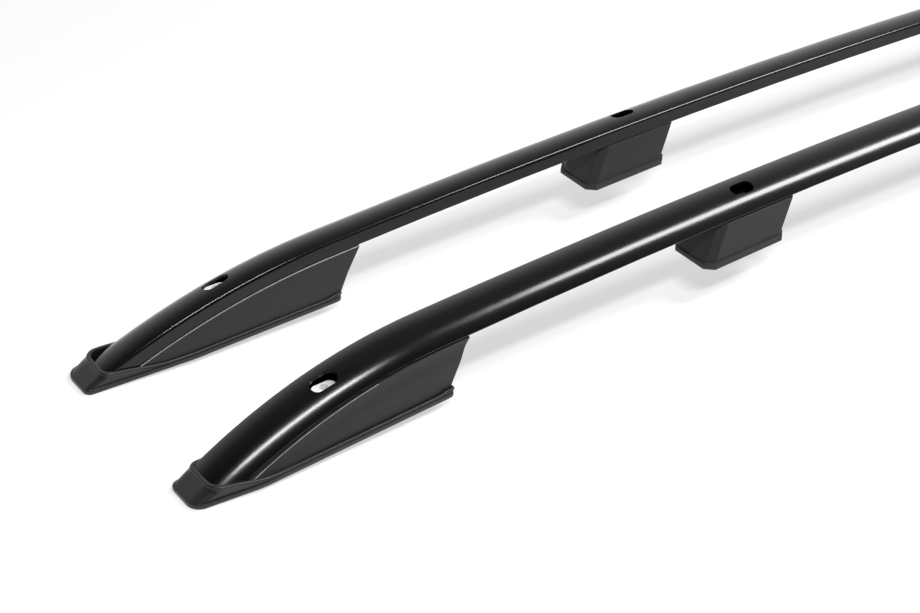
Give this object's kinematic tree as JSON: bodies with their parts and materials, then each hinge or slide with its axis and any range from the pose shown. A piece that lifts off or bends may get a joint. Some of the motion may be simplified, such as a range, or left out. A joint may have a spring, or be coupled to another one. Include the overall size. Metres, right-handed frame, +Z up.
{
  "type": "pair of roof side rails",
  "caption": "Mirrored left and right roof side rails: arched hollow bars with bent ends, raked pillars, rubber-shod end feet and slots over the roof bolts.",
  "frame": {"origin": "middle of the pair, on the floor under the toes of the end shoes", "axes": "+X along the rails towards the rear, +Y across them towards the right rail, +Z up"},
  "size_m": [1.9064, 0.2526, 0.1064],
  "materials": {
    "bar_coating": "satin black coat",
    "foot_moulding": "black moulded plastic",
    "shoe_rubber": "black rubber",
    "bush_zinc": "bright zinc plate"
  },
  "bodies": {
    "root": {"left_bar": "bar_coating", "left_front_shoe": "shoe_rubber", "left_front_end_foot": "foot_moulding", "left_front_end_bush": "bush_zinc", "left_front_gasket": "shoe_rubber", "left_front_pillar": "foot_moulding", "left_front_pillar_bush": "bush_zinc", "left_rear_shoe": "shoe_rubber", "left_rear_end_foot": "foot_moulding", "left_rear_end_bush": "bush_zinc", "left_rear_gasket": "shoe_rubber", "left_rear_pillar": "foot_moulding", "left_rear_pillar_bush": "bush_zinc", "right_bar": "bar_coating", "right_front_shoe": "shoe_rubber", "right_front_end_foot": "foot_moulding", "right_front_end_bush": "bush_zinc", "right_front_gasket": "shoe_rubber", "right_front_pillar": "foot_moulding", "right_front_pillar_bush": "bush_zinc", "right_rear_shoe": "shoe_rubber", "right_rear_end_foot": "foot_moulding", "right_rear_end_bush": "bush_zinc", "right_rear_gasket": "shoe_rubber", "right_rear_pillar": "foot_moulding", "right_rear_pillar_bush": "bush_zinc"}
  },
  "joints": []
}
